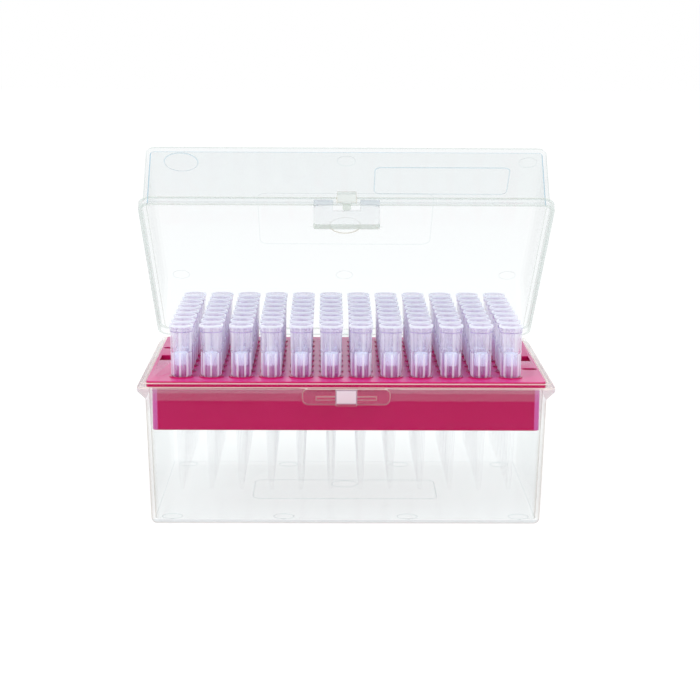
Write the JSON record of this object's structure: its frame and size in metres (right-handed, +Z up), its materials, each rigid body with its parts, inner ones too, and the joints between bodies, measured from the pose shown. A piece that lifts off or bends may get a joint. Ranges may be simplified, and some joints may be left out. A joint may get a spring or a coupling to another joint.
{
  "type": "pipette tip box",
  "caption": "Clear hinged box with a coloured rack of filter pipette tips and a snap flap on its lid.",
  "frame": {"origin": "centre of the base's underside", "axes": "+X along the twelve columns of tips, +Y towards the hinge at the rear, +Z up"},
  "size_m": [0.1256, 0.0969, 0.1112],
  "materials": {
    "clear_pp": "clear moulded polypropylene",
    "frosted_pp": "frosted moulded polypropylene",
    "magenta_pp": "satin coloured polypropylene",
    "tip_pp": "translucent moulded polypropylene",
    "filter_pe": "white sintered polyethylene"
  },
  "bodies": {
    "base": {"base_box": "clear_pp", "tip_rack": "magenta_pp", "tips_row_a": "tip_pp", "tips_row_b": "tip_pp", "tips_row_c": "tip_pp", "tips_row_d": "tip_pp", "tips_row_e": "tip_pp", "tips_row_f": "tip_pp", "tips_row_g": "tip_pp", "tips_row_h": "tip_pp", "filters_row_a": "filter_pe", "filters_row_b": "filter_pe", "filters_row_c": "filter_pe", "filters_row_d": "filter_pe", "filters_row_e": "filter_pe", "filters_row_f": "filter_pe", "filters_row_g": "filter_pe", "filters_row_h": "filter_pe"},
    "lid": {"lid": "clear_pp"},
    "latch": {"latch_flap": "frosted_pp"}
  },
  "joints": [
    {"name": "lid_hinge", "type": "hinge", "parent": "base", "child": "lid", "pos_m": [0, 0.0452, 0.0435], "axis": [-1, 0, 0], "range_deg": [-36.9, 75]},
    {"name": "latch_flex", "type": "hinge", "parent": "lid", "child": "latch", "pos_m": [0, -0.02579, 0.09645], "axis": [-1, 0, 0], "range_deg": [0, 60], "stiffness_Nm_per_rad": 0.001}
  ]
}
